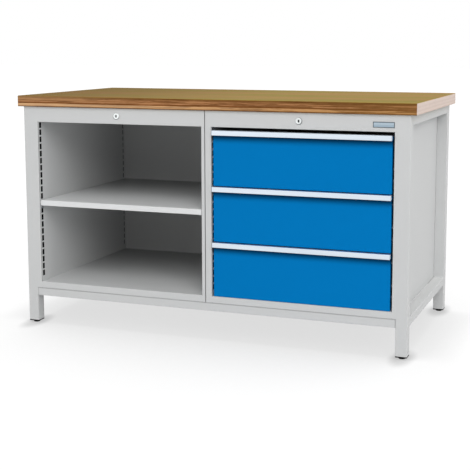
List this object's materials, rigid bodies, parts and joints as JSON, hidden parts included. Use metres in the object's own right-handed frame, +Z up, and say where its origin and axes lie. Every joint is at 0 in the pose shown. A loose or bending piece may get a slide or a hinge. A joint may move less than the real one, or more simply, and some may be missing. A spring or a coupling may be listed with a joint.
{
  "type": "workbench with drawers",
  "caption": "Steel workbench with a plywood top, an open cabinet with an adjustable shelf, and a cabinet of locking drawers on full-extension runners.",
  "frame": {"origin": "on the floor, at the centre of the closed bench's outline seen from above", "axes": "+X along the bench to the drawer end, +Y from the front to the back, +Z up"},
  "size_m": [1.5, 0.756, 0.865],
  "materials": {
    "plywood": "oiled hardwood plywood, end plies showing at the edges",
    "grey_paint": "fine-textured light grey powder coat",
    "blue_paint": "smooth satin blue powder coat",
    "aluminium": "matt natural anodised",
    "zinc": "bright zinc plate",
    "bright_metal": "satin nickel plate",
    "black_plastic": "moulded black plastic"
  },
  "bodies": {
    "bench": {"cabinet_bolts": "zinc", "cabinet_rails": "zinc", "end_bottom_rails": "grey_paint", "end_top_rails": "grey_paint", "fascia_plate": "aluminium", "front_rail": "grey_paint", "left_cabinet_back": "grey_paint", "left_cabinet_fascia": "grey_paint", "left_cabinet_floor": "grey_paint", "left_cabinet_left_wall": "grey_paint", "left_cabinet_right_wall": "grey_paint", "left_cabinet_top": "grey_paint", "leg_caps": "black_plastic", "leg_front_left": "grey_paint", "leg_front_right": "grey_paint", "leg_rear_left": "grey_paint", "leg_rear_right": "grey_paint", "lock_barrels": "bright_metal", "lock_brackets": "zinc", "lock_nuts": "zinc", "rear_bottom_rail": "grey_paint", "rear_top_rail": "grey_paint", "right_cabinet_back": "grey_paint", "right_cabinet_fascia": "grey_paint", "right_cabinet_floor": "grey_paint", "right_cabinet_left_wall": "grey_paint", "right_cabinet_right_wall": "grey_paint", "right_cabinet_top": "grey_paint", "shelf_clips": "zinc", "worktop": "plywood", "worktop_screws": "zinc"},
    "left_lock": {"left_lock_plug": "bright_metal", "left_lock_cam": "zinc"},
    "right_lock": {"right_lock_plug": "bright_metal", "lock_rod": "zinc"},
    "lock_bar": {"lock_bar": "zinc", "lock_hooks": "zinc"},
    "shelf": {"shelf": "grey_paint"},
    "drawer_1": {"drawer_tray_1": "grey_paint", "drawer_front_1": "blue_paint", "drawer_grip_1": "aluminium", "drawer_rails_1": "zinc", "drawer_catch_1": "zinc"},
    "middle_rails_1": {"middle_rails_1": "zinc"},
    "drawer_2": {"drawer_tray_2": "grey_paint", "drawer_front_2": "blue_paint", "drawer_grip_2": "aluminium", "drawer_rails_2": "zinc", "drawer_catch_2": "zinc"},
    "middle_rails_2": {"middle_rails_2": "zinc"},
    "drawer_3": {"drawer_tray_3": "grey_paint", "drawer_front_3": "blue_paint", "drawer_grip_3": "aluminium", "drawer_rails_3": "zinc", "drawer_catch_3": "zinc"},
    "middle_rails_3": {"middle_rails_3": "zinc"},
    "foot_front_left": {"foot_front_left": "black_plastic"},
    "foot_front_right": {"foot_front_right": "black_plastic"},
    "foot_rear_left": {"foot_rear_left": "black_plastic"},
    "foot_rear_right": {"foot_rear_right": "black_plastic"}
  },
  "joints": [
    {"name": "drawer_1_slide", "type": "slide", "parent": "bench", "child": "drawer_1", "axis": [0, -1, 0], "range_m": [0, 0.55]},
    {"name": "middle_rails_1_slide", "type": "slide", "parent": "bench", "child": "middle_rails_1", "axis": [0, -1, 0], "range_m": [0, 0.275]},
    {"name": "drawer_2_slide", "type": "slide", "parent": "bench", "child": "drawer_2", "axis": [0, -1, 0], "range_m": [0, 0.55]},
    {"name": "middle_rails_2_slide", "type": "slide", "parent": "bench", "child": "middle_rails_2", "axis": [0, -1, 0], "range_m": [0, 0.275]},
    {"name": "drawer_3_slide", "type": "slide", "parent": "bench", "child": "drawer_3", "axis": [0, -1, 0], "range_m": [0, 0.55]},
    {"name": "middle_rails_3_slide", "type": "slide", "parent": "bench", "child": "middle_rails_3", "axis": [0, -1, 0], "range_m": [0, 0.275]},
    {"name": "left_lock_turn", "type": "hinge", "parent": "bench", "child": "left_lock", "pos_m": [-0.3455, -0.364, 0.7965], "axis": [0, 1, 0], "range_deg": [0, 90]},
    {"name": "right_lock_turn", "type": "hinge", "parent": "bench", "child": "right_lock", "pos_m": [0.3455, -0.364, 0.7965], "axis": [0, 1, 0], "range_deg": [0, 90]},
    {"name": "lock_bar_lift", "type": "slide", "parent": "bench", "child": "lock_bar", "axis": [0, 0, 1], "range_m": [0, 0.01]},
    {"name": "shelf_slide", "type": "slide", "parent": "bench", "child": "shelf", "axis": [0, -1, 0], "range_m": [0, 0.6]},
    {"name": "foot_front_left_level", "type": "slide", "parent": "bench", "child": "foot_front_left", "axis": [0, 0, -1], "range_m": [0, 0.02]},
    {"name": "foot_front_right_level", "type": "slide", "parent": "bench", "child": "foot_front_right", "axis": [0, 0, -1], "range_m": [0, 0.02]},
    {"name": "foot_rear_left_level", "type": "slide", "parent": "bench", "child": "foot_rear_left", "axis": [0, 0, -1], "range_m": [0, 0.02]},
    {"name": "foot_rear_right_level", "type": "slide", "parent": "bench", "child": "foot_rear_right", "axis": [0, 0, -1], "range_m": [0, 0.02]}
  ],
  "couplings": [
    {"joint": "middle_rails_1_slide", "follows": "drawer_1_slide", "ratio": 0.5},
    {"joint": "middle_rails_2_slide", "follows": "drawer_2_slide", "ratio": 0.5},
    {"joint": "middle_rails_3_slide", "follows": "drawer_3_slide", "ratio": 0.5},
    {"joint": "right_lock_turn", "follows": "lock_bar_lift", "rad_per_m": 157.07}
  ]
}
